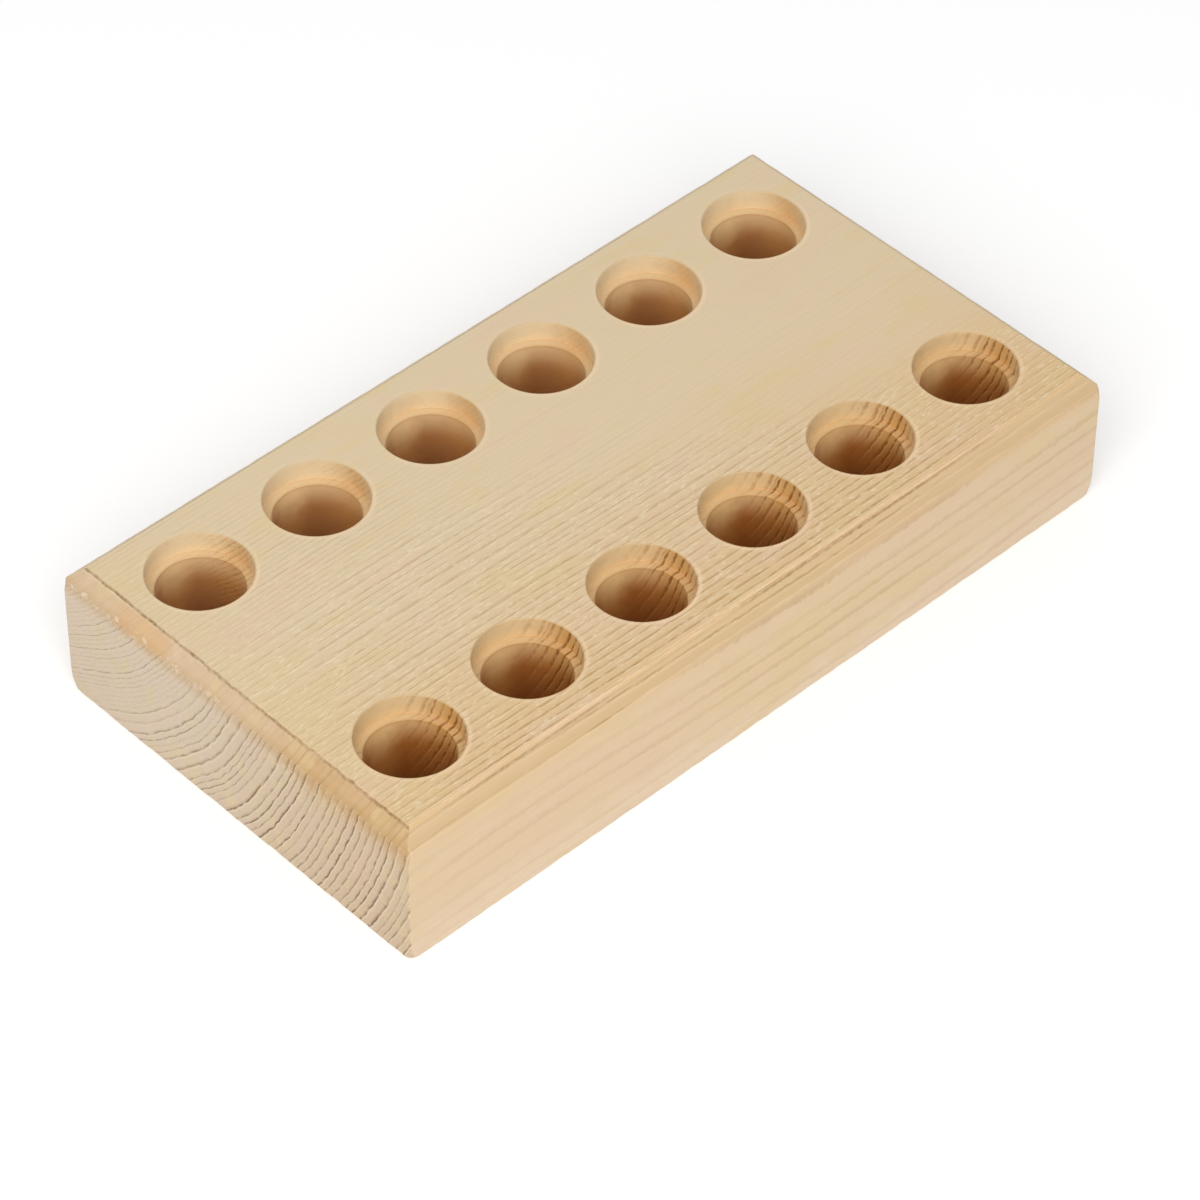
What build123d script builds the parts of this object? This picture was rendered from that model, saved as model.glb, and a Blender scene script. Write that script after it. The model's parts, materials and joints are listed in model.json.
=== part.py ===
"""Wooden bench block with two rows of blind stepped sockets.

One piece of planed softwood. The grain runs along X. The frame's origin is the middle of the
underside, +X is along the block, +Y towards the back row and +Z up. Millimetres throughout.
"""
from build123d import *
import os

# Plan of the sockets
sockets_per_row = 6
socket_pitch = 35.0      # centre to centre along a row
row_spacing = 70.5       # between the centre lines of the two rows
end_margin = 21.75       # from an end face to the nearest centre
back_margin = 22.25      # from the back face to the back row
front_margin = 23.5      # from the front face to the front row

# Block
block_height = 38.0
edge_chamfer = 3.8       # taken off both faces at the top, all round, at 45 degrees
cutter_step = 0.35       # square step that the chamfer cutter leaves along the top face
upright_easing = 0.5     # radius on the four upright corners
base_easing = 0.4        # radius round the underside

# Stepped socket
seat_diameter = 25.0     # upper, wider part
seat_depth = 5.5
shaft_diameter = 21.0    # lower part, with a flat floor
floor_thickness = 8.0    # wood left below the floor
floor_easing = 0.5       # bevel in the floor's corner, left by the boring bit's eased lips
mouth_easing = 0.3       # small chamfer on the rim of the seat

block_length = (sockets_per_row - 1) * socket_pitch + 2 * end_margin
block_width = front_margin + row_spacing + back_margin
chamfer_top = block_height - cutter_step
chamfer_leg = edge_chamfer - cutter_step   # the sloping part's own reach, each way
front_row_y = -block_width / 2 + front_margin
back_row_y = front_row_y + row_spacing


def socket_places():
    """Centres of all sockets on the underside's plane, front row first, each from -X to +X."""
    first_x = -block_length / 2 + end_margin
    places = []
    for row_y in (front_row_y, back_row_y):
        for n in range(sockets_per_row):
            places.append((first_x + n * socket_pitch, row_y))
    return places


def block_blank():
    """The bored-free block: a prism with eased uprights and base, cut back by the top chamfer."""
    with BuildPart() as prism:
        with BuildSketch(Plane.XY):
            RectangleRounded(block_length, block_width, upright_easing)
        extrude(amount=chamfer_top)
        fillet(prism.faces().sort_by(Axis.Z)[0].edges(), base_easing)
    with BuildPart() as chamfered:
        with BuildSketch(Plane.XY):
            Rectangle(block_length, block_width)
        extrude(amount=chamfer_top)
        chamfer(chamfered.faces().sort_by(Axis.Z)[-1].edges(), chamfer_leg)
    return prism.part & chamfered.part


def top_land():
    """The flat top inside the chamfer, which stands above it by the cutter's step."""
    with BuildPart() as land:
        with BuildSketch(Plane.XY.offset(chamfer_top)):
            Rectangle(block_length - 2 * edge_chamfer, block_width - 2 * edge_chamfer)
        extrude(amount=cutter_step)
    return land.part


def socket_cutter():
    """What the boring tools take out at one place, turned about the socket's own axis."""
    shaft_r = shaft_diameter / 2
    seat_r = seat_diameter / 2
    mouth_r = seat_r + mouth_easing
    seat_z = block_height - seat_depth
    with BuildPart() as cutter:
        with BuildSketch(Plane.XZ):
            with BuildLine():
                Polyline(
                    (0, floor_thickness),
                    (shaft_r, floor_thickness),
                    (shaft_r, seat_z),
                    (seat_r, seat_z),
                    (seat_r, block_height - mouth_easing),
                    (mouth_r, block_height),
                    (0, block_height),
                    close=True,
                )
            make_face()
        revolve(axis=Axis.Z)
        chamfer(cutter.edges().sort_by(Axis.Z)[0], floor_easing)
    return cutter.part


def holder_block():
    """The finished piece."""
    block = block_blank() + top_land()
    cutter = socket_cutter()
    for x, y in socket_places():
        block -= Pos(x, y, 0) * cutter
    return block.clean()


if __name__ == "__main__":
    os.makedirs("parts", exist_ok=True)
    block = holder_block()
    export_step(block, "parts/holder_block.step")
    print("block", block_length, block_width, block_height, "volume", round(block.volume, 1))
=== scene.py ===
"""A planed pine block with rows of stepped round sockets, laid out as a Blender add-on.

The block is one closed surface worked out with numpy, and its wood is one solid field of growth rings,
so that every face, chamfer and socket wall cuts through the same rings. The properties hold metres and
radians. The sums below use millimetres.
"""
import json
import math
from types import SimpleNamespace

import bpy
import numpy as np
from bpy.props import FloatProperty, FloatVectorProperty, IntProperty, PointerProperty
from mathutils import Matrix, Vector


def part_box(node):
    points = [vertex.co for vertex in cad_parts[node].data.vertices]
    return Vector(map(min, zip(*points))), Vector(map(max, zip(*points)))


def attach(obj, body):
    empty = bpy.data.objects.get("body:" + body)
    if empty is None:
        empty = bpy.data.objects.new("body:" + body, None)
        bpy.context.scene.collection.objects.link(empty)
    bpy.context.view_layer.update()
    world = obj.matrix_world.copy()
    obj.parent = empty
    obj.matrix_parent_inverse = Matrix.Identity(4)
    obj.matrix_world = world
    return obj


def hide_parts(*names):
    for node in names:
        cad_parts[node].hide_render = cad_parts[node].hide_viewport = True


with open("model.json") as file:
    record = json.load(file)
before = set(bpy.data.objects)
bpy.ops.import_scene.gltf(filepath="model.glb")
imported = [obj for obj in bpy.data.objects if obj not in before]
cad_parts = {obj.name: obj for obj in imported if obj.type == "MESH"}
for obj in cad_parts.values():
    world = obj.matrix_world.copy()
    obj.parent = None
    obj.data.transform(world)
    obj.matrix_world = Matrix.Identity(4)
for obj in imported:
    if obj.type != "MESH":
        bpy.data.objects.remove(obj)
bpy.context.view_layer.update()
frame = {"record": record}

bl_info = {
    "name": "Pine holder block",
    "version": (1, 0, 0),
    "blender": (4, 5, 0),
    "location": "View3D > Sidebar > Holder block",
    "description": "Makes a planed pine block with stepped sockets, its wood and its stage",
    "category": "Object",
}

MM = 0.001    # metres in a millimetre


def picked(red, green, blue):
    """A colour picker's 0 to 255 values as the linear numbers that Blender stores."""
    values = np.array([red, green, blue]) / 255.0
    linear = np.where(values <= 0.04045, values / 12.92, ((values + 0.055) / 1.055) ** 2.4)
    return tuple(float(v) for v in linear)


def bores(prefix):
    """The record's bores whose names start with prefix: their places (x, y), radius and wall length,
    in millimetres."""
    found = [m for m in frame["record"]["mounts"] if m["name"].startswith(prefix)]
    places = np.array([m["pos_m"][:2] for m in found]) * 1000.0
    return places, found[0]["dims"]["r_mm"], found[0]["dims"]["length_mm"]


def length(label, note, millimetres):
    """A length property, stored in metres."""
    return FloatProperty(name=label, description=note, default=millimetres * MM, unit="LENGTH",
                         precision=5)


def share(label, note, value):
    """A plain number from 0 to 1."""
    return FloatProperty(name=label, description=note, default=value, min=0.0, max=1.0,
                         subtype="FACTOR")


def tint(label, note, red, green, blue):
    """A colour property, given as a colour picker shows it."""
    return FloatVectorProperty(name=label, description=note, default=picked(red, green, blue),
                               subtype="COLOR", min=0.0, max=1.0)


def in_millimetres(group):
    """The group's lengths as plain numbers in millimetres, under the same names, with its counts."""
    sizes = SimpleNamespace()
    for name, prop in group.bl_rna.properties.items():
        if prop.type == "FLOAT" and prop.unit == "LENGTH":
            setattr(sizes, name, getattr(group, name) / MM)
        if prop.type == "INT":
            setattr(sizes, name, getattr(group, name))
    return sizes


node_low, node_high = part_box("holder_block")
socket_places, seat_radius, seat_wall = bores("seat_")
shaft_radius, shaft_wall = bores("shaft_")[1:]
column_x = np.unique(np.round(socket_places[:, 0], 4))
row_y = np.unique(np.round(socket_places[:, 1], 4))
mouth_rounding = 0.3    # height in mm of the rounding above each seat's straight wall


class BlockSizes(bpy.types.PropertyGroup):
    """Sizes of the block's form."""
    length: length("Length", "Along the rows", (node_high.x - node_low.x) / MM)
    width: length("Width", "Across the rows", (node_high.y - node_low.y) / MM)
    height: length("Height", "From the underside", (node_high.z - node_low.z) / MM)
    pitch: length("Pitch", "Sockets' spacing along a row", column_x[1] - column_x[0])
    chamfer: length("Chamfer", "Taken off both faces at the top", 3.8)
    step: length("Cutter step", "Height of the step above the chamfer", 0.35)
    upright: length("Upright easing", "Radius of the upright corners", 0.5)
    base: length("Base easing", "Radius round the underside", 0.4)
    arris: length("Arris", "Radius left on the step by sanding", 0.16)
    wear: length("Wear", "Deepest dent along the handled edges", 0.16)
    knock: length("Knocked corners", "Extra radius on the corners' ends", 1.3)
    rim: length("Rim", "Radius on the sockets' mouths", mouth_rounding)
    seat_depth: length("Seat depth", "From the top to the ledge", seat_wall + mouth_rounding)
    floor_easing: length("Floor corner", "Bevel in the sockets' floor corner", 0.5)
    facets: IntProperty(name="Facets", description="Divisions of each side of a socket's square cell",
                        default=24)


class WoodLook(bpy.types.PropertyGroup):
    """Colours and ring sizes of the pine."""
    face_back: tint("Pale wood", "Planed faces towards the back", 219, 199, 165)
    face_front: tint("Warm wood", "Planed faces towards the front", 218, 185, 140)
    side_left: tint("Side wood", "The long upright faces, -X part", 221, 195, 159)
    side_right: tint("Side wood, far part", "The long upright faces, +X part", 219, 194, 159)
    side_low: tint("Side wood, low part", "The long upright faces, near the underside", 226, 207, 184)
    ring_line: tint("Latewood", "Dark line of each ring on planed faces", 166, 130, 78)
    fleck: tint("Fleck", "Small pale flecks of lifted fibre", 238, 222, 190)
    straw: tint("Straw", "Slow yellowish patches", 217, 194, 142)
    rose: tint("Rose", "Slow pinkish patches", 222, 192, 164)
    end_back: tint("End grain", "Sawn ends, towards the back", 205, 189, 169)
    end_front: tint("End grain, front", "Sawn ends, towards the front", 198, 176, 150)
    end_line: tint("End line", "Latewood on the ends", 127, 99, 67)
    end_ridge: tint("End ridge", "Pale ridge beside each dark line", 236, 222, 200)
    slope_side: tint("Side chamfer", "Chamfers on the long sides", 205, 177, 138)
    slope_back: tint("End chamfer", "Chamfers on the ends, towards the back", 204, 176, 141)
    slope_front: tint("End chamfer, front", "Chamfers on the ends, towards the front", 195, 157, 107)
    resin: tint("Resin", "Reddish patch on the ends' chamfers", 212, 166, 120)
    # Painted shade in the crease at the foot of the cutter's step, over the darker cut fibre there.
    crease_shade: tint("Crevice", "Dark foot of the cutter's step", 138, 102, 60)
    seat_wood: tint("Seat wood", "Socket walls above the ledge", 230, 202, 154)
    seat_end: tint("Socket end grain", "Upper socket walls where they cut end grain", 214, 168, 103)
    # Painted shade on the sockets' up-facing ledges.
    ledge_shade: tint("Ledge wood", "Tone of the sockets' ledges", 207, 175, 130)
    upper_wood: tint("Shaft wood", "Socket walls just below the ledge", 221, 184, 130)
    upper_side: tint("Shaft side", "The same where the wall follows the grain", 239, 204, 144)
    # Painted shade of the deep bores: the socket walls are coloured darker and redder towards the floor.
    deep_shade: tint("Deep wood", "Socket walls near the floor, browned by the bit", 167, 103, 44)
    deep_side_shade: tint("Deep side", "The same where the wall follows the grain", 203, 142, 75)
    back_lift: tint("Back sockets", "Tone of the paler sockets in the back row", 240, 220, 182)
    # Painted highlight: the pale ring round each socket's mouth and the pale strip along the front top
    # arris.
    pale_highlight: tint("Rim wood", "Pale ring round each socket's mouth", 238, 206, 168)
    bored_line: tint("Bored line", "Torn latewood in the sockets", 138, 84, 24)
    pith_y: length("Pith Y", "Centre of the rings", 77.9)
    pith_z: length("Pith Z", "Centre of the rings", 67.5)
    ring_gap: length("Ring gap", "Width of one ring in the outer wood", 2.05)
    tight_gap: length("Tight ring gap", "Width of one ring in the inner wood", 1.28)
    tight_radius: length("Tight radius", "Radius at which the rings change width", 72.0)
    roughness: share("Roughness", "Of the planed faces", 0.62)
    gloss: share("Gloss", "Specular level of the bare wood", 0.28)


class StageLook(bpy.types.PropertyGroup):
    """Floor, light and camera."""
    floor_color: FloatVectorProperty(name="Floor", description="Pale floor", subtype="COLOR",
                                     default=(0.9, 0.9, 0.9))
    floor_lift: FloatProperty(name="Floor lift", default=0.17,
                              description="Light added to the floor as the camera sees it")
    sky: FloatProperty(name="Sky", description="Strength of the even light", default=0.64)
    key: FloatProperty(name="Key light", description="Watts of the large soft lamp", default=16.0)
    key_azimuth: FloatProperty(name="Key azimuth", description="Plan direction of the lamp from +X",
                               default=math.radians(222), subtype="ANGLE")
    key_height: FloatProperty(name="Key elevation", description="Angle of the lamp above the floor",
                              default=math.radians(42), subtype="ANGLE")
    key_distance: FloatProperty(name="Key distance", description="From the block", default=1.6,
                                unit="LENGTH")
    camera_place: FloatVectorProperty(name="Camera", description="Place of the camera",
                                      subtype="TRANSLATION", default=(-0.61573, -0.64405, 0.87357))
    camera_turn: FloatVectorProperty(name="Camera turn", description="Turn of the camera",
                                     subtype="EULER",
                                     default=[math.radians(a) for a in (45.427, -0.352, -43.496)])
    lens: FloatProperty(name="Lens", description="Focal length in mm on a 36 mm sensor", default=159.83)


# Surfaces


class Surface:
    """Collects patches of quads, then welds them into one closed mesh."""

    def __init__(self):
        self.points = []
        self.faces = []
        self.count = 0

    def patch(self, grid, around=False, flip=False):
        """Adds a grid of points (rows, columns, 3); around joins its last column to its first."""
        rows, columns = grid.shape[:2]
        index = np.arange(rows * columns).reshape(rows, columns) + self.count
        if around:
            index = np.concatenate([index, index[:, :1]], axis=1)
        corners = [index[:-1, :-1], index[:-1, 1:], index[1:, 1:], index[1:, :-1]]
        quads = np.stack(corners, axis=-1).reshape(-1, 4)
        self.points.append(grid.reshape(-1, 3))
        self.faces.append(quads[:, ::-1] if flip else quads)
        self.count += rows * columns

    def mesh(self, name):
        """Welds points closer than a micron, drops faces that the weld closed up, and makes the mesh."""
        points = np.concatenate(self.points)
        quads = np.concatenate(self.faces)
        keys = np.round(points * 1000.0).astype(np.int64)
        _, first, inverse = np.unique(keys, axis=0, return_index=True, return_inverse=True)
        quads = inverse.reshape(-1)[quads]
        points = points[first] * MM
        following = np.roll(quads, -1, axis=1)
        kept = quads != following
        corners = kept.sum(axis=1)
        whole = corners >= 3
        quads, kept, corners = quads[whole], kept[whole], corners[whole]
        mesh = bpy.data.meshes.new(name)
        mesh.vertices.add(len(points))
        mesh.vertices.foreach_set("co", points.astype(np.float32).ravel())
        mesh.loops.add(int(corners.sum()))
        mesh.loops.foreach_set("vertex_index", quads[kept].astype(np.int32))
        mesh.polygons.add(len(corners))
        mesh.polygons.foreach_set("loop_start", (np.cumsum(corners) - corners).astype(np.int32))
        mesh.update(calc_edges=True)
        mesh.validate()
        mesh.polygons.foreach_set("use_smooth", np.ones(len(mesh.polygons), bool))
        mesh.update()
        return mesh


def divided(stops, steps):
    """Numbers from stop to stop, each stretch cut into its own number of equal steps."""
    runs = [np.linspace(a, b, n, endpoint=False) for a, b, n in zip(stops[:-1], stops[1:], steps)]
    return np.concatenate(runs + [[stops[-1]]])


def arc(centre, radius, start, end, steps):
    """Points of a circular arc in a profile: centre + radius * (cos, sin), from start to end degrees."""
    angle = np.radians(np.linspace(start, end, steps + 1))
    return np.stack([centre[0] + radius * np.cos(angle), centre[1] + radius * np.sin(angle)], axis=1)


def perimeter(inset, radius, corner_steps, across, along, half_x, half_y):
    """One loop round the block, from above anticlockwise: a rectangle drawn in by inset, its corners
    rounded to radius. across and along hold the grid stops from -1 to 1 on the long and short sides."""
    wide, deep = half_x - inset, half_y - inset
    x = across * (wide - radius)
    y = along * (deep - radius)
    turn = np.radians(np.linspace(0, 90, corner_steps + 1))[1:-1]
    cos, sin = np.cos(turn), np.sin(turn)
    cx, cy = wide - radius, deep - radius
    front = np.stack([x, np.full_like(x, -deep)], 1)
    right = np.stack([np.full_like(y, wide), y], 1)
    back = np.stack([x[::-1], np.full_like(x, deep)], 1)
    left = np.stack([np.full_like(y, -wide), y[::-1]], 1)
    near_right = np.stack([cx + radius * sin, -cy - radius * cos], 1)
    far_right = np.stack([cx + radius * cos, cy + radius * sin], 1)
    far_left = np.stack([-cx - radius * sin, cy + radius * cos], 1)
    near_left = np.stack([-cx - radius * cos, -cy - radius * sin], 1)
    return np.concatenate([front, near_right, right, far_right, back, far_left, left, near_left])


def edge_profile(s):
    """Stations down the block's edge as (inset, height, corner radius, wear): top arris, cutter's step,
    its shelf, the slope of the chamfer, the lower arris, the upright face, the base's easing and a margin
    of the underside. The corner radius swells as a bell curve round the lower arris and round the base,
    as on knocked corners. Wear is 1 on the edges that hands and shelves touch."""
    height, chamfer, step, soft = s.height, s.chamfer, s.step, s.arris
    shelf = height - step
    low = height - chamfer
    fillet = 0.10
    top_margin = 0.12
    under_margin = 1.3
    top = arc((chamfer + soft, height - soft), soft, 90, 180, 4)
    hollow = arc((chamfer - fillet, shelf + fillet), fillet, 0, -90, 3)
    slope_top = arc((chamfer - 0.24, shelf - fillet), fillet, 90, 135, 2)
    slope = np.linspace([chamfer - 0.34, shelf - 0.05], [0.30, low + 0.30], 5)
    lower = np.array([[0.20, low + 0.18], [0.11, low + 0.04], [0.045, low - 0.14], [0.0, low - 0.38]])
    upright = np.linspace([0.0, low - 0.9], [0.0, s.base + 0.4], 14)
    ease = arc((s.base, s.base), s.base, 180, 270, 6)
    land = np.array([[chamfer + soft + top_margin, height]])
    under = np.array([[s.base + under_margin, 0.0]])
    stations = np.concatenate([land, top, hollow, slope_top, slope, lower, upright, ease, under])
    inset, level = stations.T
    knocked = s.knock * (np.exp(-((level - low) / 1.8) ** 2) + 1.6 * np.exp(-(level / 2.6) ** 2))
    corner = np.clip((low + 1.2 - level) / 1.6, 0.0, 1.0) * (s.upright + knocked)
    corner = np.where(level < s.base, np.maximum(corner - inset, 0.0), corner)
    corner[[0, -1]] = 0.0
    wear = np.exp(-((level - low) / 0.45) ** 2) + np.exp(-((level - 0.2) / 0.35) ** 2) * (inset < s.base)
    wear[level > low + 1.0] = 0.0
    wear[-1] = 0.0
    return inset, level, corner, wear


def dents(plan, seed):
    """How far the worn edges are pressed in, 0 to 1, at each point of a loop: the mean of three sine waves
    along the loop with random starts, cut off below zero and raised to a power, so that most of the edge
    stays whole."""
    steps = np.linalg.norm(np.diff(plan, axis=0, append=plan[:1]), axis=1)
    distance = np.concatenate([[0.0], np.cumsum(steps)[:-1]])
    random = np.random.default_rng(seed)
    total = np.zeros(len(plan))
    for wave in (31, 67, 127):
        phase = random.uniform(0, 2 * math.pi)
        total += np.sin(distance / steps.sum() * 2 * math.pi * wave + phase)
    return np.clip(total / 3.0 + 0.35, 0.0, 1.0) ** 1.5


def block_profile_loops(s, across, along, half_x, half_y):
    """The loops of the block's edge, from the underside up. Worn stations are drawn in by the dents, each
    point away from the faces that it lies on or near."""
    upper_seed, lower_seed = 3, 8
    near_face = 0.9
    loops = []
    for inset, level, corner, wear in zip(*edge_profile(s)):
        plan = perimeter(inset, corner, 6, across, along, half_x, half_y)
        if wear > 0.01:
            press = dents(plan, upper_seed if level > 5.0 else lower_seed) * wear * s.wear
            faces = np.array([half_x - inset, half_y - inset])
            near = np.abs(plan) > faces - near_face
            plan = plan - np.sign(plan) * near * press[:, None]
        loops.append(np.column_stack([plan, np.full(len(plan), level)]))
    return np.stack(loops)[::-1]


def socket_profile(s):
    """Stations down a socket as (radius, height): rounded rim, seat wall, ledge with a rounded lip, shaft
    wall, bevelled floor."""
    top = s.height
    ledge = top - s.seat_depth
    floor = ledge - shaft_wall - s.floor_easing
    rim = arc((seat_radius + s.rim, top - s.rim), s.rim, 90, 180, 4)
    seat = np.linspace([seat_radius, top - s.rim - 0.3], [seat_radius, ledge + 0.35], 4)
    root = np.array([[seat_radius, ledge]])
    flat = np.array([[seat_radius - 0.5, ledge], [shaft_radius + 0.55, ledge]])
    soft = 0.2
    lip = arc((shaft_radius + soft, ledge - soft), soft, 90, 180, 3)
    shaft = np.linspace([shaft_radius, ledge - 0.6], [shaft_radius, floor + s.floor_easing + 0.3], 6)
    corner = np.array([[shaft_radius, floor + s.floor_easing], [shaft_radius - s.floor_easing, floor]])
    bottom = np.linspace([shaft_radius - 1.5, floor], [0.0, floor], 4)
    return np.concatenate([rim, seat, root, flat, lip, shaft, corner, bottom])


def block_surface(s):
    """The whole block. Round the edge, each station of the profile is a loop. On top, each socket's
    square cell is blended from square to circle, point = (1 - t) * square + t * circle, and the socket's
    profile is turned about its axis. The rest of the top and the underside are grids."""
    surface = Surface()
    half_x, half_y = s.length / 2, s.width / 2
    inset = edge_profile(s)[0]
    land_x, land_y = half_x - inset[0], half_y - inset[0]
    half_cell = s.pitch / 2
    n = s.facets
    x_stops = np.concatenate([[-land_x], column_x - half_cell, [column_x[-1] + half_cell, land_x]])
    grid_x = divided(x_stops, [1] + [n] * len(column_x) + [1])
    y_stops = [-land_y, row_y[0] - half_cell, row_y[0] + half_cell, row_y[1] - half_cell,
               row_y[1] + half_cell, land_y]
    grid_y = divided(y_stops, [3, n, n, n, 2])
    across, along = grid_x / land_x, grid_y / land_y
    surface.patch(block_profile_loops(s, across, along, half_x, half_y), around=True)
    # underside
    wide, deep = half_x - inset[-1], half_y - inset[-1]
    under_x, under_y = np.meshgrid(across * wide, along * deep)
    surface.patch(np.stack([under_x, under_y, np.zeros_like(under_x)], -1), flip=True)
    # top between the sockets' cells
    top_x, top_y = np.meshgrid(grid_x, grid_y)
    top = np.stack([top_x, top_y, np.full_like(top_x, s.height)], -1)
    rows = np.searchsorted(grid_y, np.array(y_stops) - 1e-6)
    columns = np.searchsorted(grid_x, x_stops - 1e-6)
    for first, last in ((rows[0], rows[1]), (rows[2], rows[3]), (rows[4], rows[5])):
        surface.patch(top[first:last + 1])
    for first, last in ((rows[1], rows[2]), (rows[3], rows[4])):
        surface.patch(top[first:last + 1, columns[0]:columns[1] + 1])
        surface.patch(top[first:last + 1, columns[-2]:columns[-1] + 1])
    # sockets
    side = np.linspace(-half_cell, half_cell, n, endpoint=False)
    edge = np.full(n, half_cell)
    square = np.concatenate([np.stack([side, -edge], 1), np.stack([edge, side], 1),
                             np.stack([-side, edge], 1), np.stack([-edge, -side], 1)])
    angle = np.radians(-135.0) + np.arange(4 * n) * (2 * math.pi / (4 * n))
    circle = np.stack([np.cos(angle), np.sin(angle)], 1)
    profile = socket_profile(s)
    blend = np.array([0.0, 0.22, 0.45, 0.66, 0.83, 0.95])
    mouth = profile[0, 0] * circle
    for x, y in socket_places:
        ring = (1 - blend)[:, None, None] * square + blend[:, None, None] * mouth
        ring = np.concatenate([ring, np.full(ring.shape[:2] + (1,), s.height)], -1)
        wall = np.concatenate([profile[:, :1, None] * circle,
                               np.broadcast_to(profile[:, 1:, None], (len(profile), 4 * n, 1))], -1)
        surface.patch(np.concatenate([ring, wall]) + np.array([x, y, 0.0]), around=True)
    return surface


# Shader sums


class Value:
    """A number that changes over the surface. The usual operators add Math nodes."""

    def __init__(self, sheet, socket):
        self.sheet = sheet
        self.socket = socket

    def sum(self, operation, *values):
        """The result of a Math node on these values."""
        return self.sheet.math(operation, *values)

    def __add__(self, other):
        return self.sum("ADD", self, other)

    def __radd__(self, other):
        return self.sum("ADD", other, self)

    def __sub__(self, other):
        return self.sum("SUBTRACT", self, other)

    def __rsub__(self, other):
        return self.sum("SUBTRACT", other, self)

    def __mul__(self, other):
        return self.sum("MULTIPLY", self, other)

    def __rmul__(self, other):
        return self.sum("MULTIPLY", other, self)

    def __truediv__(self, other):
        return self.sum("DIVIDE", self, other)

    def __pow__(self, other):
        return self.sum("POWER", self, other)

    def __abs__(self):
        return self.sum("ABSOLUTE", self)

    def at_least(self, low):
        return self.sum("MAXIMUM", self, low)

    def at_most(self, high):
        return self.sum("MINIMUM", self, high)

    def root(self):
        return self.sum("SQRT", self)

    def cosine(self):
        return self.sum("COSINE", self)

    def floor(self):
        return self.sum("FLOOR", self)

    def part(self):
        """What is left above the whole number below."""
        return self.sum("FRACT", self)

    def ramp(self, low, high):
        """0 at low, 1 at high, with a smooth S between; low may be the larger."""
        return self.sheet.node("ShaderNodeMapRange", {"interpolation_type": "SMOOTHSTEP"},
                               {"Value": self, "From Min": low, "From Max": high}, "Result")

    def band(self, start, full, ends, gone):
        """Rises from 0 at start to 1 at full, and falls from 1 at ends to 0 at gone."""
        return self.ramp(start, full) * self.ramp(gone, ends)


class Sheet:
    """The nodes of one material or of the world."""

    def __init__(self, owner):
        owner.use_nodes = True
        self.owner = owner
        self.tree = owner.node_tree
        self.tree.nodes.clear()

    def node(self, kind, settings=None, inputs=None, output=0):
        """Adds a node, applies its settings, fills its inputs with values or links, and gives one of its
        outputs, if it has any."""
        node = self.tree.nodes.new(kind)
        for name, setting in (settings or {}).items():
            setattr(node, name, setting)
        for name, value in (inputs or {}).items():
            if isinstance(value, Value):
                self.tree.links.new(value.socket, node.inputs[name])
            else:
                node.inputs[name].default_value = value
        return Value(self, node.outputs[output]) if node.outputs else None

    def math(self, operation, *values):
        return self.node("ShaderNodeMath", {"operation": operation}, dict(enumerate(values)))

    def stretched(self, vector, scale):
        """The vector with each part times its own number."""
        return self.node("ShaderNodeVectorMath", {"operation": "MULTIPLY"}, {0: vector, 1: scale})

    def parts(self, vector):
        """The vector's three numbers."""
        return [self.node("ShaderNodeSeparateXYZ", None, {"Vector": vector}, axis) for axis in "XYZ"]

    def noise(self, vector, scale, detail=0.0):
        """Smooth noise from about -1 to 1. scale is its bumps per millimetre in X, Y and Z."""
        fac = self.node("ShaderNodeTexNoise", {"noise_dimensions": "3D"},
                        {"Vector": self.stretched(vector, scale), "Scale": 1.0, "Detail": detail}, "Fac")
        return (fac - 0.5) * 2.0

    def noise_along(self, number):
        """Smooth noise along one number, from about -1 to 1."""
        fac = self.node("ShaderNodeTexNoise", {"noise_dimensions": "1D"},
                        {"W": number, "Scale": 1.0, "Detail": 0.0}, "Fac")
        return (fac - 0.5) * 2.0

    def each(self, number):
        """A fixed random number, 0 to 1, for each whole number."""
        return self.node("ShaderNodeTexWhiteNoise", {"noise_dimensions": "1D"}, {"W": number}, "Value")

    def seen_ray(self):
        """1 for what the camera sees, straight or by a reflection, and 0 for what only lights the
        object."""
        rays = [self.node("ShaderNodeLightPath", None, None, name)
                for name in ("Is Camera Ray", "Is Glossy Ray", "Is Transmission Ray")]
        return (rays[0] + rays[1] + rays[2]).at_most(1.0)

    def mix(self, factor, a, b):
        """Colour a where factor is 0 and b where it is 1."""
        first, second = [v if isinstance(v, Value) else (*v, 1.0) for v in (a, b)]
        return self.node("ShaderNodeMix", {"data_type": "RGBA"}, {0: factor, 6: first, 7: second}, 2)


# Wood. A mask is 1 on its own kind of face and 0 elsewhere. The numbers of a ramp or band are millimetres,
# or levels of what it is laid on, and a plain factor is a share of full strength.


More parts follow.
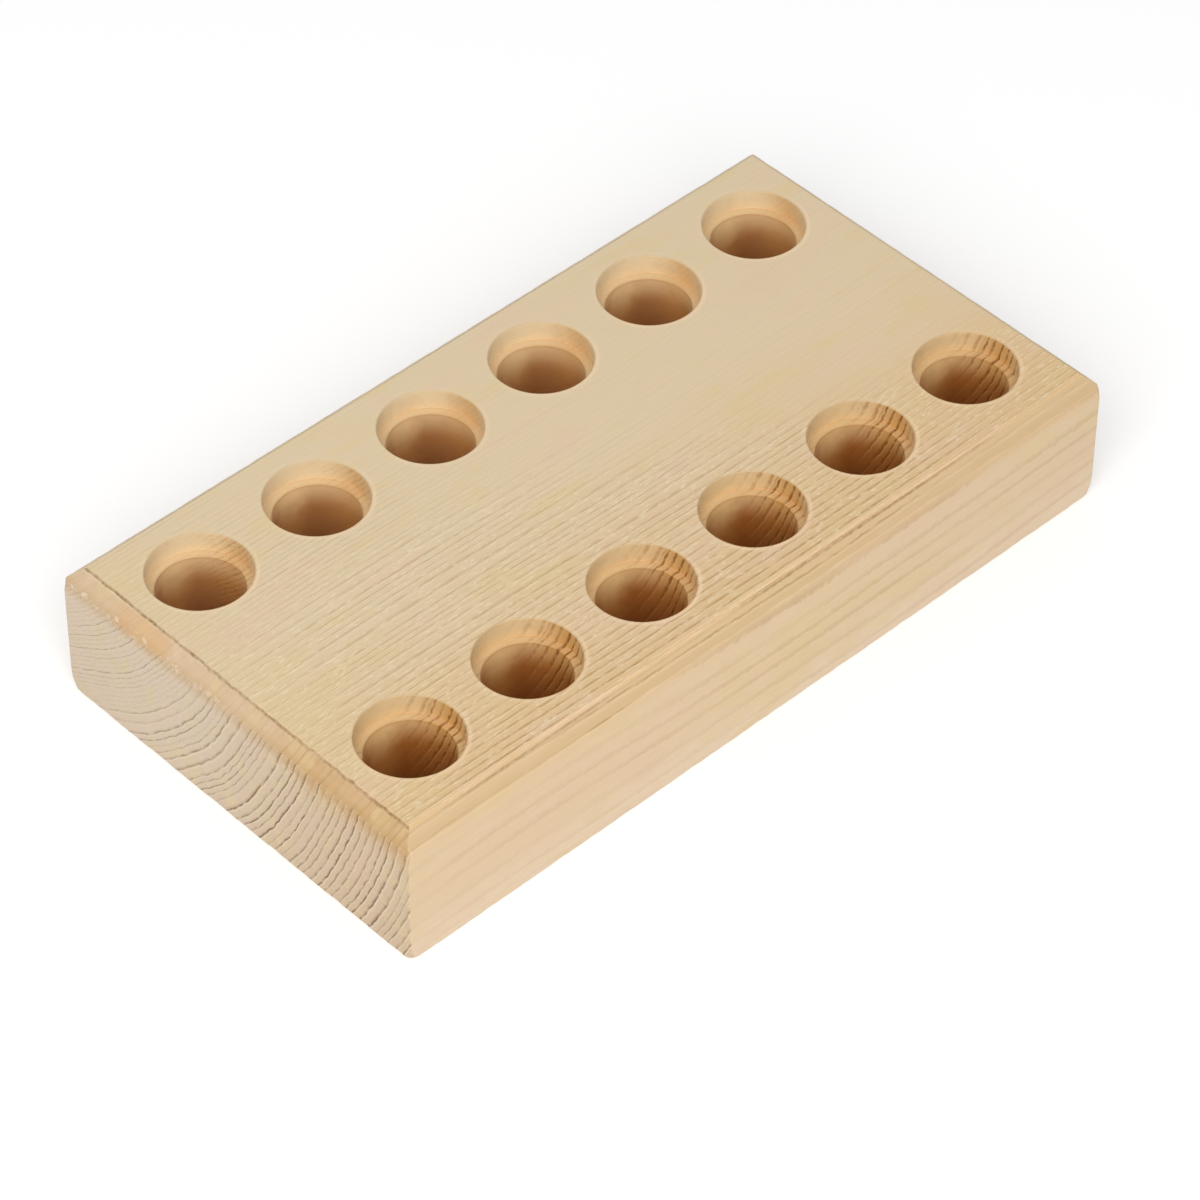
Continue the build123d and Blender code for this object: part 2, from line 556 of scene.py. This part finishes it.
def growth_rings(sheet, rings, place, x, y, z, end, rough):
    """Ring count and ring radius at a point. The radius is the distance from the pith, whose line runs
    along X. A long wave along the block bends it, a square term straightens it towards the back, and slow,
    fine and ragged noise ruffles it. The count is how far the radius lies outside the tight radius, over
    the width of a ring, which is smaller inside that radius, plus noise that makes the widths differ."""
    straight_from, straightening = 38.6, 0.0057
    wave_size, wave_middle, wave_length = 0.66, 30.0, 230.0
    across, up = y - rings.pith_y, z - rings.pith_z
    reach = (across * across + up * up).root()
    behind = (y - straight_from).at_least(0.0)
    wave = -wave_size * (((x - wave_middle) * (2 * math.pi / wave_length)).cosine() + 1.0)
    slow = sheet.noise(place, (0.012, 0.05, 0.05))
    fine = sheet.noise(place, (0.045, 0.28, 0.28), 1.0)
    ragged = sheet.noise(place, (0.55, 0.62, 0.62), 1.0)
    radius = (reach - behind * behind * straightening + wave + slow * 0.7 + fine * (0.18 + 0.22 * end)
              + ragged * (0.10 - 0.06 * end + 0.26 * rough))
    outer = radius - rings.tight_radius
    narrower = 1 / rings.tight_gap - 1 / rings.ring_gap
    count = (outer / rings.ring_gap + outer.at_most(0.0) * narrower
             + sheet.noise_along(radius * 0.16) * 0.5)
    return count, radius


def wood_facts(sheet, rings, sizes):
    """What the material knows about a point: where it lies, which way the face there cuts the wood, its
    growth ring, and the slow and fine noise that several tones share."""
    at = SimpleNamespace()
    coordinates = [sheet.node("ShaderNodeTexCoord", None, None, name) for name in ("Object", "Normal")]
    at.place = sheet.stretched(coordinates[0], (1000.0, 1000.0, 1000.0))
    at.x, at.y, at.z = sheet.parts(at.place)
    nx, ny, nz = [abs(n) for n in sheet.parts(coordinates[1])]
    half_x, half_y = sizes.length / 2, sizes.width / 2
    at.depth = sizes.height - at.z
    at.from_left = half_x + at.x
    at.from_end = half_x - abs(at.x)
    at.from_side = half_y - abs(at.y)

    # which way each face cuts the wood; the sockets all lie inside the margin
    margin = 4.6
    inner_x, inner_y = half_x - margin, half_y - margin
    at.inside = (inner_x - abs(at.x)).ramp(0.0, 0.3) * (inner_y - abs(at.y)).ramp(0.0, 0.3)
    at.bored = at.inside * at.depth.ramp(0.02, 0.4) * at.z.ramp(0.5, 1.5)
    at.outside = 1.0 - at.bored
    below_step = at.outside * at.depth.ramp(0.45, 0.75)
    at.end = nx.ramp(0.25, 0.80) * below_step
    at.side = ny.ramp(0.75, 0.95) * below_step
    at.flat = nz.ramp(0.80, 0.95) * at.outside
    at.slope = nz.band(0.45, 0.62, 0.80, 0.92) * below_step
    at.long_slope = at.slope * (1.0 - at.end)
    at.end_slope = at.slope * at.end
    at.sawn = at.end * (1.0 - at.slope)
    at.ledge = nz.ramp(0.5, 0.9)

    # the point's ring: where it lies within it, and the ring's own random strength
    rough = at.side + at.bored + at.long_slope * 0.6
    count, radius = growth_rings(sheet, rings, at.place, at.x, at.y, at.z, at.end, rough)
    at.within = count.part()
    at.soft_line = at.within.band(0.30, 0.62, 0.66, 0.78)
    at.thin_line = at.within.band(0.50, 0.62, 0.66, 0.76)
    at.ridge = at.within.band(0.70, 0.80, 0.84, 0.96)
    inner = radius.ramp(rings.tight_radius + 4.0, rings.tight_radius - 8.0)
    at.chance = ((sheet.each(count.floor()) - inner * 0.40) * (1.0 + inner * 0.55)).at_least(0.0)
    at.strength = 0.25 + 0.75 * at.chance

    # slow changes over the block
    at.patches = sheet.noise(at.place, (0.018, 0.06, 0.06), 1.0)
    at.mottle = sheet.noise(at.place, (0.07, 0.20, 0.20), 1.0)
    at.toward_front = (at.y * -1.0 + at.patches * 14.0).ramp(-10.0, 58.0)
    at.toward_back = at.y.ramp(-10.0, 10.0)
    at.front_half = (at.y + at.mottle * 6.0).ramp(-6.0, -28.0)
    at.lower_front = (at.y * -1.0 + at.depth * 0.9).ramp(-10.0, 70.0)

    # crisp is 1 where the top's lines and flecks are clear, and low towards its far back corner
    before = (at.y * -1.0 - 14.0).at_least(0.0)
    fading = at.x + at.y * 1.4 - at.y.ramp(-3.0, -9.0) * 16.0 - before * before * 0.2 + at.patches * 18.0
    at.crisp = 1.0 - fading.ramp(-38.0, 30.0) * at.flat * at.depth.ramp(1.0, 0.2) * 0.94

    # fine noise: breaks along the grain, unevenness, fainter stretches, specks, fibre, and chips along
    # the lower arris of the ends' chamfers
    at.dash = 0.25 + 0.75 * sheet.noise(at.place, (0.22, 1.0, 1.0), 2.0).ramp(-0.38, 0.20)
    at.uneven = sheet.noise(at.place, (0.40, 0.40, 0.40), 3.0)
    at.faint = sheet.noise(at.place, (0.06, 0.09, 0.09), 2.0).ramp(-0.45, 0.35)
    at.speck = sheet.noise(at.place, (0.50, 2.2, 2.2), 1.0)
    at.fibre = sheet.noise(at.place, (0.12, 2.6, 2.6), 2.0)
    chips = sheet.noise(at.place, (0.50, 0.50, 0.85), 1.0).ramp(0.14, 0.30)
    chips = chips * at.end * at.depth.band(2.6, 3.4, 4.2, 5.4)
    at.chip = chips * (at.y + at.mottle * 10.0).ramp(-8.0, 22.0)
    return at


def socket_facts(sheet, at, sizes):
    """Adds what the sockets need: a point's distance from the nearest axis, how squarely a wall there
    crosses the grain, and the torn latewood on it."""
    front_y, back_y = float(row_y[0]), float(row_y[1])
    column = ((at.x - float(column_x[0])) / sizes.pitch + 0.5).part() * sizes.pitch - sizes.pitch / 2
    row = abs(at.y - front_y).at_most(abs(at.y - back_y))
    at.from_axis = (column * column + row * row).root()
    at.beyond_axis = at.y - front_y - at.toward_back * (back_y - front_y)
    facing = abs(column) / at.from_axis.at_least(0.5)
    at.cut = facing ** 4.0
    at.with_grain = (facing + at.uneven * 0.12).ramp(0.62, 0.08)
    at.in_seat = at.depth.ramp(6.0, 5.3)

    # torn lines are fainter in the back row's first socket, and almost gone in the rest of that row
    line = at.within.band(0.32, 0.58, 0.68, 0.84)
    extra = at.within.band(0.02, 0.14, 0.18, 0.28) * at.chance.ramp(0.4, 0.6) * 0.45
    smoother = at.x.ramp(-80.0, -58.0) * (1.0 - at.in_seat) + at.x.ramp(-80.0, 0.0) * at.in_seat * 0.9
    plain = at.toward_back * (0.60 + 0.40 * smoother)
    at.tatter = 0.40 + 0.78 * sheet.noise(at.place, (0.60, 0.60, 0.40), 2.0).ramp(-0.32, 0.22)
    torn = line.at_least(extra) * (0.65 + 0.35 * at.chance) * (0.04 + 0.96 * at.cut)
    at.torn = torn * (1.0 - 0.94 * plain) * at.tatter


def outer_tones(sheet, at, look, chamfer):
    """The wood's own colour outside: planed faces, sawn ends and the chamfers between them."""
    x, y, depth, end, side, mottle = at.x, at.y, at.depth, at.end, at.side, at.mottle
    broad = at.patches + mottle
    small = mottle + at.patches * 0.5
    planed = sheet.mix(at.toward_front, look.face_back, look.face_front)
    planed = sheet.mix(side, planed, sheet.mix(x.ramp(-80.0, 70.0), look.side_left, look.side_right))
    planed = sheet.mix(side * depth.ramp(21.0, 38.0) * 0.60, planed, look.side_low)
    near_end = at.flat * at.from_left.ramp(26.0, 6.0) * 0.30
    planed = sheet.mix((broad.ramp(0.0, 0.6) * 0.40).at_least(near_end), planed, look.straw)
    planed = sheet.mix(broad.ramp(-0.05, -0.6) * 0.40, planed, look.rose)

    ends = sheet.mix((y + mottle * 12.0).ramp(30.0, -45.0), look.end_back, look.end_front)
    ends = sheet.mix(small.ramp(-0.25, 0.6) * 0.42, ends, look.straw)
    ends = sheet.mix(small.ramp(0.2, -0.5) * 0.26, ends, look.rose)
    wood = sheet.mix(end, planed, ends)

    # the ends' chamfers keep their tone below the arris too, in tongues that follow the rings
    slopes = sheet.mix(at.front_half, look.slope_back, look.slope_front)
    slopes = sheet.mix(small.ramp(0.0, 0.45) * 0.45, slopes, look.straw)
    slopes = sheet.mix(small.ramp(-0.05, -0.45) * (0.45 - 0.35 * at.front_half), slopes, look.rose)
    slopes = sheet.mix(x.ramp(20.0, 90.0) * 0.70, slopes, look.face_back)
    slopes = sheet.mix(end, look.slope_side, slopes)
    tongues = depth + mottle * 1.6 + (1.0 - at.within.band(0.15, 0.55, 0.70, 0.95)) * 2.2 - 0.9
    spill = end * tongues.ramp(8.2 + 5.0 * at.front_half, chamfer - 0.6) * 0.85
    sloping = (at.end_slope * 0.9).at_least(spill).at_least(at.long_slope * 0.65 * y.ramp(30.0, 0.0))
    wood = sheet.mix(sloping, wood, slopes)

    # the sides are warmer just below their arris, and resin stains the ends' arris near the back
    warm = side * depth.ramp(8.5, 3.8) * (0.40 + 0.20 * x.ramp(10.0, 50.0))
    wood = sheet.mix(warm, wood, look.face_front)
    stain = end * (depth + mottle * 1.5).ramp(6.5, 4.0) * (y + mottle * 5.0).band(20.0, 27.0, 36.0, 43.0)
    return sheet.mix(stain * 0.55, wood, look.resin)


def outer_lines(sheet, at, look, wood):
    """Lays the rings' dark lines and pale ridges over the outside, then flecks and the fine fibre."""
    x, y, depth = at.x, at.y, at.depth
    soft_line, thin_line, strength = at.soft_line, at.thin_line, at.strength
    streak = sheet.noise(at.place, (0.022, 0.16, 0.16), 1.0).ramp(-0.42, 0.35)
    broken = 0.35 + 0.65 * sheet.noise(at.place, (0.3, 0.32, 0.32), 1.0).ramp(-0.35, 0.15)

    on_flat = soft_line * at.flat * at.dash * (0.40 + 0.20 * at.toward_front) * at.crisp
    on_flat = on_flat * (0.60 + 0.40 * at.chance) * (0.5 + 0.5 * at.from_left.ramp(6.0, 40.0))
    on_flat = on_flat * (1.0 + 0.7 * y.ramp(-40.0, -50.0)) * (0.35 + 0.65 * x.ramp(82.0, 45.0))
    on_side = soft_line * at.side * (0.25 + 0.75 * streak) * 0.42 * strength
    on_side = on_side * (0.4 + 0.6 * depth.ramp(4.0, 9.0)) * (1.0 - 0.5 * depth.ramp(20.0, 32.0))
    on_side = on_side * (1.0 + 0.7 * x.ramp(-40.0, 0.0) * depth.ramp(18.0, 10.0))
    mid_slope = 0.25 + 0.75 * x.band(-66.0, -48.0, 36.0, 60.0)
    on_slope = thin_line * at.long_slope * at.dash * mid_slope * strength
    on_slope = on_slope + soft_line * at.end_slope * broken * (0.14 + 0.50 * at.front_half) * strength
    on_end = (thin_line * 0.6 + soft_line * 0.5) * at.sawn * broken * (0.58 + 0.80 * at.lower_front)
    on_end = on_end * (0.22 + 0.88 * at.chance) * (1.0 - 0.35 * y.ramp(-44.0, -56.0))
    dark = (on_flat + on_side + on_slope + on_end).at_most(1.0)
    wood = sheet.mix(dark, wood, sheet.mix(at.sawn, look.ring_line, look.end_line))

    pale_sawn = at.ridge * strength * at.sawn * (0.28 + 0.24 * at.lower_front)
    wood = sheet.mix(pale_sawn, wood, look.end_ridge)
    pale_planed = at.ridge * (at.flat * at.crisp * 0.30 + at.long_slope * 0.15) * at.dash
    wood = sheet.mix(pale_planed, wood, look.fleck)
    below_arris = at.end * depth.band(2.2, 3.4, 5.0, 8.0) * 0.20
    low_slope = at.long_slope * depth.ramp(1.9, 2.8) * 0.10
    wood = sheet.mix(below_arris + low_slope, wood, look.ring_line)

    flecks = at.flat * at.crisp * (0.50 - 0.25 * y.ramp(2.0, 26.0)) + at.sawn * 0.25
    wood = sheet.mix(at.speck.ramp(0.10, 0.45) * flecks, wood, look.fleck)
    fibres = (at.fibre * 0.12 + 0.05).at_least(0.0) * at.outside * (0.3 + 0.7 * at.crisp)
    return sheet.mix(fibres, wood, look.ring_line)


def step_shade_and_highlights(sheet, at, look, wood):
    """Lays painted light along the chamfer cutter's step: painted shade in the crease at the foot of its
    step on the -X end and the long sides, broken up along the grain, a painted highlight along the arris
    above it on the front, and the ends' chips, pale with their glint painted in."""
    x, y, depth = at.x, at.y, at.depth
    inward = at.from_end.at_most(at.from_side)
    along_end = (at.from_side - at.from_end).ramp(-0.2, 0.2)
    along_side = 1.0 - along_end
    wider = along_end * 0.12
    end_shift = along_end * (y.at_least(0.0) * -0.005 - y.at_most(0.0) * 0.001)
    shifted = inward + at.uneven * (0.18 + wider) + (end_shift + along_side * (0.28 - x * 0.0016))
    # painted crease shade at the foot of the step, broken up along the grain
    foot = shifted.band(3.10, 3.38, wider + 3.54, wider + 3.82) * depth.ramp(1.6, 1.2)
    gap = 1.0 - 0.75 * x.band(-54.0, -42.0, -12.0, 3.0) - x.ramp(58.0, 86.0)
    on_end = along_end * (0.80 + 0.0022 * abs(y)) * x.ramp(90.0, -20.0)
    on_side = along_side * (0.56 * gap.at_least(0.0) * at.from_left.ramp(4.0, 34.0)) * 1.2
    dotted = 0.60 + 0.40 * sheet.noise(at.place, (0.85, 0.85, 0.85), 1.0).ramp(-0.30, 0.22)
    foot = foot * (on_end + on_side) * (0.60 + 0.40 * at.faint) * dotted
    wood = sheet.mix(foot, wood, look.crease_shade)

    # painted highlight along the front top arris, above the step
    lip = inward.band(3.45, 3.90, 4.30, 4.95) * depth.ramp(0.6, 0.4) * along_side * y.ramp(10.0, -10.0)
    lip_highlight_strength = (0.05 + 0.60 * at.dash) * (0.5 + 0.5 * x.ramp(-75.0, -55.0)) * x.ramp(95.0, 50.0)
    wood = sheet.mix(lip * lip_highlight_strength, wood, look.pale_highlight)
    # chips along the ends' lower arris, real in the relief, pale with their glint painted in
    return sheet.mix(at.chip * 0.40, wood, look.end_ridge)


def socket_tones(sheet, at, look):
    """The wood inside the sockets: seat, ledge and shaft, with painted shade that grows deeper and redder
    downwards, painted shade on the ledges and along their edges, and torn lines where a wall crosses the
    grain."""
    depth, toward_back = at.depth, at.toward_back
    cut, with_grain, in_seat = at.cut, at.with_grain, at.in_seat
    straight = cut * cut
    shaft = sheet.mix(with_grain, look.upper_wood, look.upper_side)
    walls = sheet.mix(straight, sheet.mix(in_seat, shaft, look.seat_wood), look.seat_end)
    walls = sheet.mix(toward_back * (0.26 + (0.47 - 0.43 * cut) * in_seat), walls, look.back_lift)
    # painted shade: darker, redder walls further down the shaft
    browned = with_grain.at_least(straight * (0.50 + 0.45 * toward_back))
    deep = sheet.mix(browned, look.deep_shade, look.deep_side_shade)
    down = (depth * (1.0 - 0.26 * with_grain)).ramp(4.6, 13.8) * (1.0 - toward_back * 0.18)
    walls = sheet.mix(down * (1.0 - in_seat), walls, deep)
    # painted shade on the ledges
    walls = sheet.mix(at.ledge * depth.ramp(8.0, 6.0) * 0.45, walls, look.ledge_shade)
    # painted shade at the ledge's lip and in the corner at the seat wall's root, damping their highlights
    lip_shade = at.from_axis.ramp(shaft_radius + 0.5, shaft_radius + 0.2) * depth.band(5.0, 5.4, 5.9, 6.6)
    root_shade = at.from_axis.ramp(seat_radius - 0.9, seat_radius - 0.4) * depth.band(4.2, 5.2, 5.7, 6.0)
    walls = sheet.mix(lip_shade * 0.32 + root_shade * 0.08, walls, look.deep_side_shade)
    walls = sheet.mix(at.torn.at_most(1.0), walls, look.bored_line)
    raised = at.ridge * cut * (1.0 - 0.7 * toward_back) * at.tatter * 0.25
    walls = sheet.mix(raised, walls, look.upper_side)
    shade = (at.mottle * 0.20 + at.uneven * 0.10).at_least(0.0) * (1.0 - at.ledge)
    return sheet.mix(shade, walls, look.deep_shade)


def rim_shade_and_highlight(sheet, at, look, wood):
    """Lays painted light on the rims: painted shade on each mouth's rounding, and a painted highlight in a
    pale ring beyond it, strongest towards the front."""
    rounding = [seat_radius + reach for reach in (-0.05, 0.10, 0.24, 0.36)]
    # painted shade on each mouth's rounding, damping its highlight
    darker = at.from_axis.band(*rounding) * at.depth.ramp(0.9, 0.3) * at.inside
    wood = sheet.mix(darker * 0.22, wood, look.ring_line)
    # painted highlight: a pale ring just beyond each mouth, strongest towards the front
    highlight_reach = [seat_radius + reach for reach in (0.30, 0.50, 0.85, 1.45)]
    paler = at.from_axis.band(*highlight_reach) * at.depth.ramp(0.2, 0.1) * at.inside
    paler = paler * (0.24 + 0.26 * at.faint) * (0.30 + 0.95 * at.beyond_axis.ramp(3.0, -9.0))
    return sheet.mix(paler, wood, look.pale_highlight)


def pine(look, rings, sizes):
    """The wood: growth rings cut by each face in its own way, over slow changes of tone. Its relief is
    sunk along the dark and torn lines, and raised along the ends' ridges, fibres, flecks and chips."""
    sheet = Sheet(bpy.data.materials.new("planed_pine"))
    at = wood_facts(sheet, rings, sizes)
    socket_facts(sheet, at, sizes)
    wood = outer_tones(sheet, at, look, sizes.chamfer)
    wood = outer_lines(sheet, at, look, wood)
    wood = step_shade_and_highlights(sheet, at, look, wood)
    wood = sheet.mix(at.bored, wood, socket_tones(sheet, at, look))
    wood = rim_shade_and_highlight(sheet, at, look, wood)
    relief = (at.soft_line * at.strength * (at.flat + at.slope + at.side) * -0.35
              + at.thin_line * at.strength * at.sawn * -0.4 + at.ridge * at.sawn * 0.3 + at.fibre * 0.22
              + at.speck * at.flat * at.crisp * 0.25 + at.chip * 0.5 + at.torn * at.bored * -0.8)
    bump = sheet.node("ShaderNodeBump", None,
                      {"Strength": 0.5, "Distance": 0.25 * MM, "Height": relief}, "Normal")
    roughness = look.roughness + at.fibre * 0.05 + at.bored * 0.08
    surface = sheet.node("ShaderNodeBsdfPrincipled", None,
                         {"Base Color": wood, "Roughness": roughness, "Normal": bump,
                          "Specular IOR Level": look.gloss}, "BSDF")
    sheet.node("ShaderNodeOutputMaterial", None, {"Surface": surface})
    return sheet.owner


def pale_floor(look):
    """A matt floor that keeps the block's shadow. To the camera it is a little lighter, so it looks white,
    and from 0.5 to 1.6 m away from the block it turns into plain white."""
    sheet = Sheet(bpy.data.materials.new("pale_floor"))
    matt = sheet.node("ShaderNodeBsdfDiffuse", None, {"Color": (*look.floor_color, 1.0)}, "BSDF")
    glow = sheet.node("ShaderNodeEmission", None, {"Strength": look.floor_lift}, "Emission")
    seen = sheet.node("ShaderNodeAddShader", None, {0: matt, 1: glow}, "Shader")
    white = sheet.node("ShaderNodeEmission", None, {"Strength": 1.0}, "Emission")
    x, y, _ = sheet.parts(sheet.node("ShaderNodeTexCoord", None, None, "Object"))
    far = (x * x + y * y).root().ramp(0.5, 1.6)
    seen = sheet.node("ShaderNodeMixShader", None, {0: far, 1: seen, 2: white}, "Shader")
    surface = sheet.node("ShaderNodeMixShader", None, {0: sheet.seen_ray(), 1: matt, 2: seen}, "Shader")
    sheet.node("ShaderNodeOutputMaterial", None, {"Surface": surface})
    return sheet.owner


def even_sky(look):
    """Even light from all round. To the camera it is plain white."""
    sheet = Sheet(bpy.data.worlds.new("even_sky"))
    white = (1, 1, 1, 1)
    lit = sheet.node("ShaderNodeBackground", None, {"Color": white, "Strength": look.sky}, "Background")
    seen = sheet.node("ShaderNodeBackground", None, {"Color": white, "Strength": 1.0}, "Background")
    surface = sheet.node("ShaderNodeMixShader", None, {0: sheet.seen_ray(), 1: lit, 2: seen}, "Shader")
    sheet.node("ShaderNodeOutputWorld", None, {"Surface": surface})
    return sheet.owner


class MakeBlock(bpy.types.Operator):
    """Make the bored block and its wood"""
    bl_idname = "holder.block"
    bl_label = "Block"

    def execute(self, context):
        sizes = in_millimetres(context.scene.holder_sizes)
        look = context.scene.holder_wood
        sharp_angle = math.radians(50)
        mesh = block_surface(sizes).mesh("holder_block_wood")
        mesh.set_sharp_from_angle(angle=sharp_angle)
        block = bpy.data.objects.new("holder_block_wood", mesh)
        context.scene.collection.objects.link(block)
        mesh.materials.append(pine(look, in_millimetres(look), sizes))
        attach(block, "root")
        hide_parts("holder_block")
        return {"FINISHED"}


class MakeStage(bpy.types.Operator):
    """Make the floor, the light and the camera"""
    bl_idname = "holder.stage"
    bl_label = "Stage"

    def execute(self, context):
        look = context.scene.holder_stage
        scene = context.scene
        reach = 6.0    # metres from the middle of the floor to its sides
        corners = [(-reach, -reach, 0), (reach, -reach, 0), (reach, reach, 0), (-reach, reach, 0)]
        mesh = bpy.data.meshes.new("floor")
        mesh.from_pydata(corners, [], [(0, 1, 2, 3)])
        floor = bpy.data.objects.new("floor", mesh)
        scene.collection.objects.link(floor)
        mesh.materials.append(pale_floor(look))
        scene.world = even_sky(look)

        lamp = bpy.data.lights.new("window", "AREA")
        lamp.energy = look.key
        lamp.shape = "RECTANGLE"
        lamp.size = 1.4
        lamp.size_y = 1.0
        window = bpy.data.objects.new("window", lamp)
        scene.collection.objects.link(window)
        level = math.cos(look.key_height)
        away = Vector((level * math.cos(look.key_azimuth), level * math.sin(look.key_azimuth),
                       math.sin(look.key_height)))
        window.location = away * look.key_distance
        window.rotation_euler = away.to_track_quat("Z", "Y").to_euler()

        camera = bpy.data.objects.new("camera", bpy.data.cameras.new("camera"))
        scene.collection.objects.link(camera)
        camera.location = look.camera_place
        camera.rotation_euler = look.camera_turn
        camera.data.lens = look.lens
        camera.data.sensor_width = 36.0
        camera.data.clip_end = 50.0
        scene.camera = camera
        scene.view_settings.view_transform = "Standard"
        return {"FINISHED"}


class HolderPanel(bpy.types.Panel):
    """Lists the pieces"""
    bl_idname = "VIEW3D_PT_holder_block"
    bl_label = "Holder block"
    bl_space_type = "VIEW_3D"
    bl_region_type = "UI"
    bl_category = "Holder block"

    def draw(self, context):
        self.layout.operator(MakeBlock.bl_idname)
        self.layout.operator(MakeStage.bl_idname)


groups = {"holder_sizes": BlockSizes, "holder_wood": WoodLook, "holder_stage": StageLook}
others = (MakeBlock, MakeStage, HolderPanel)


def register():
    for name, group in groups.items():
        bpy.utils.register_class(group)
        setattr(bpy.types.Scene, name, PointerProperty(type=group))
    for part in others:
        bpy.utils.register_class(part)


def unregister():
    for part in reversed(others):
        bpy.utils.unregister_class(part)
    for name, group in groups.items():
        delattr(bpy.types.Scene, name)
        bpy.utils.unregister_class(group)


def main():
    register()
    bpy.ops.holder.block()
    bpy.ops.holder.stage()


if __name__ == "__main__":
    main()
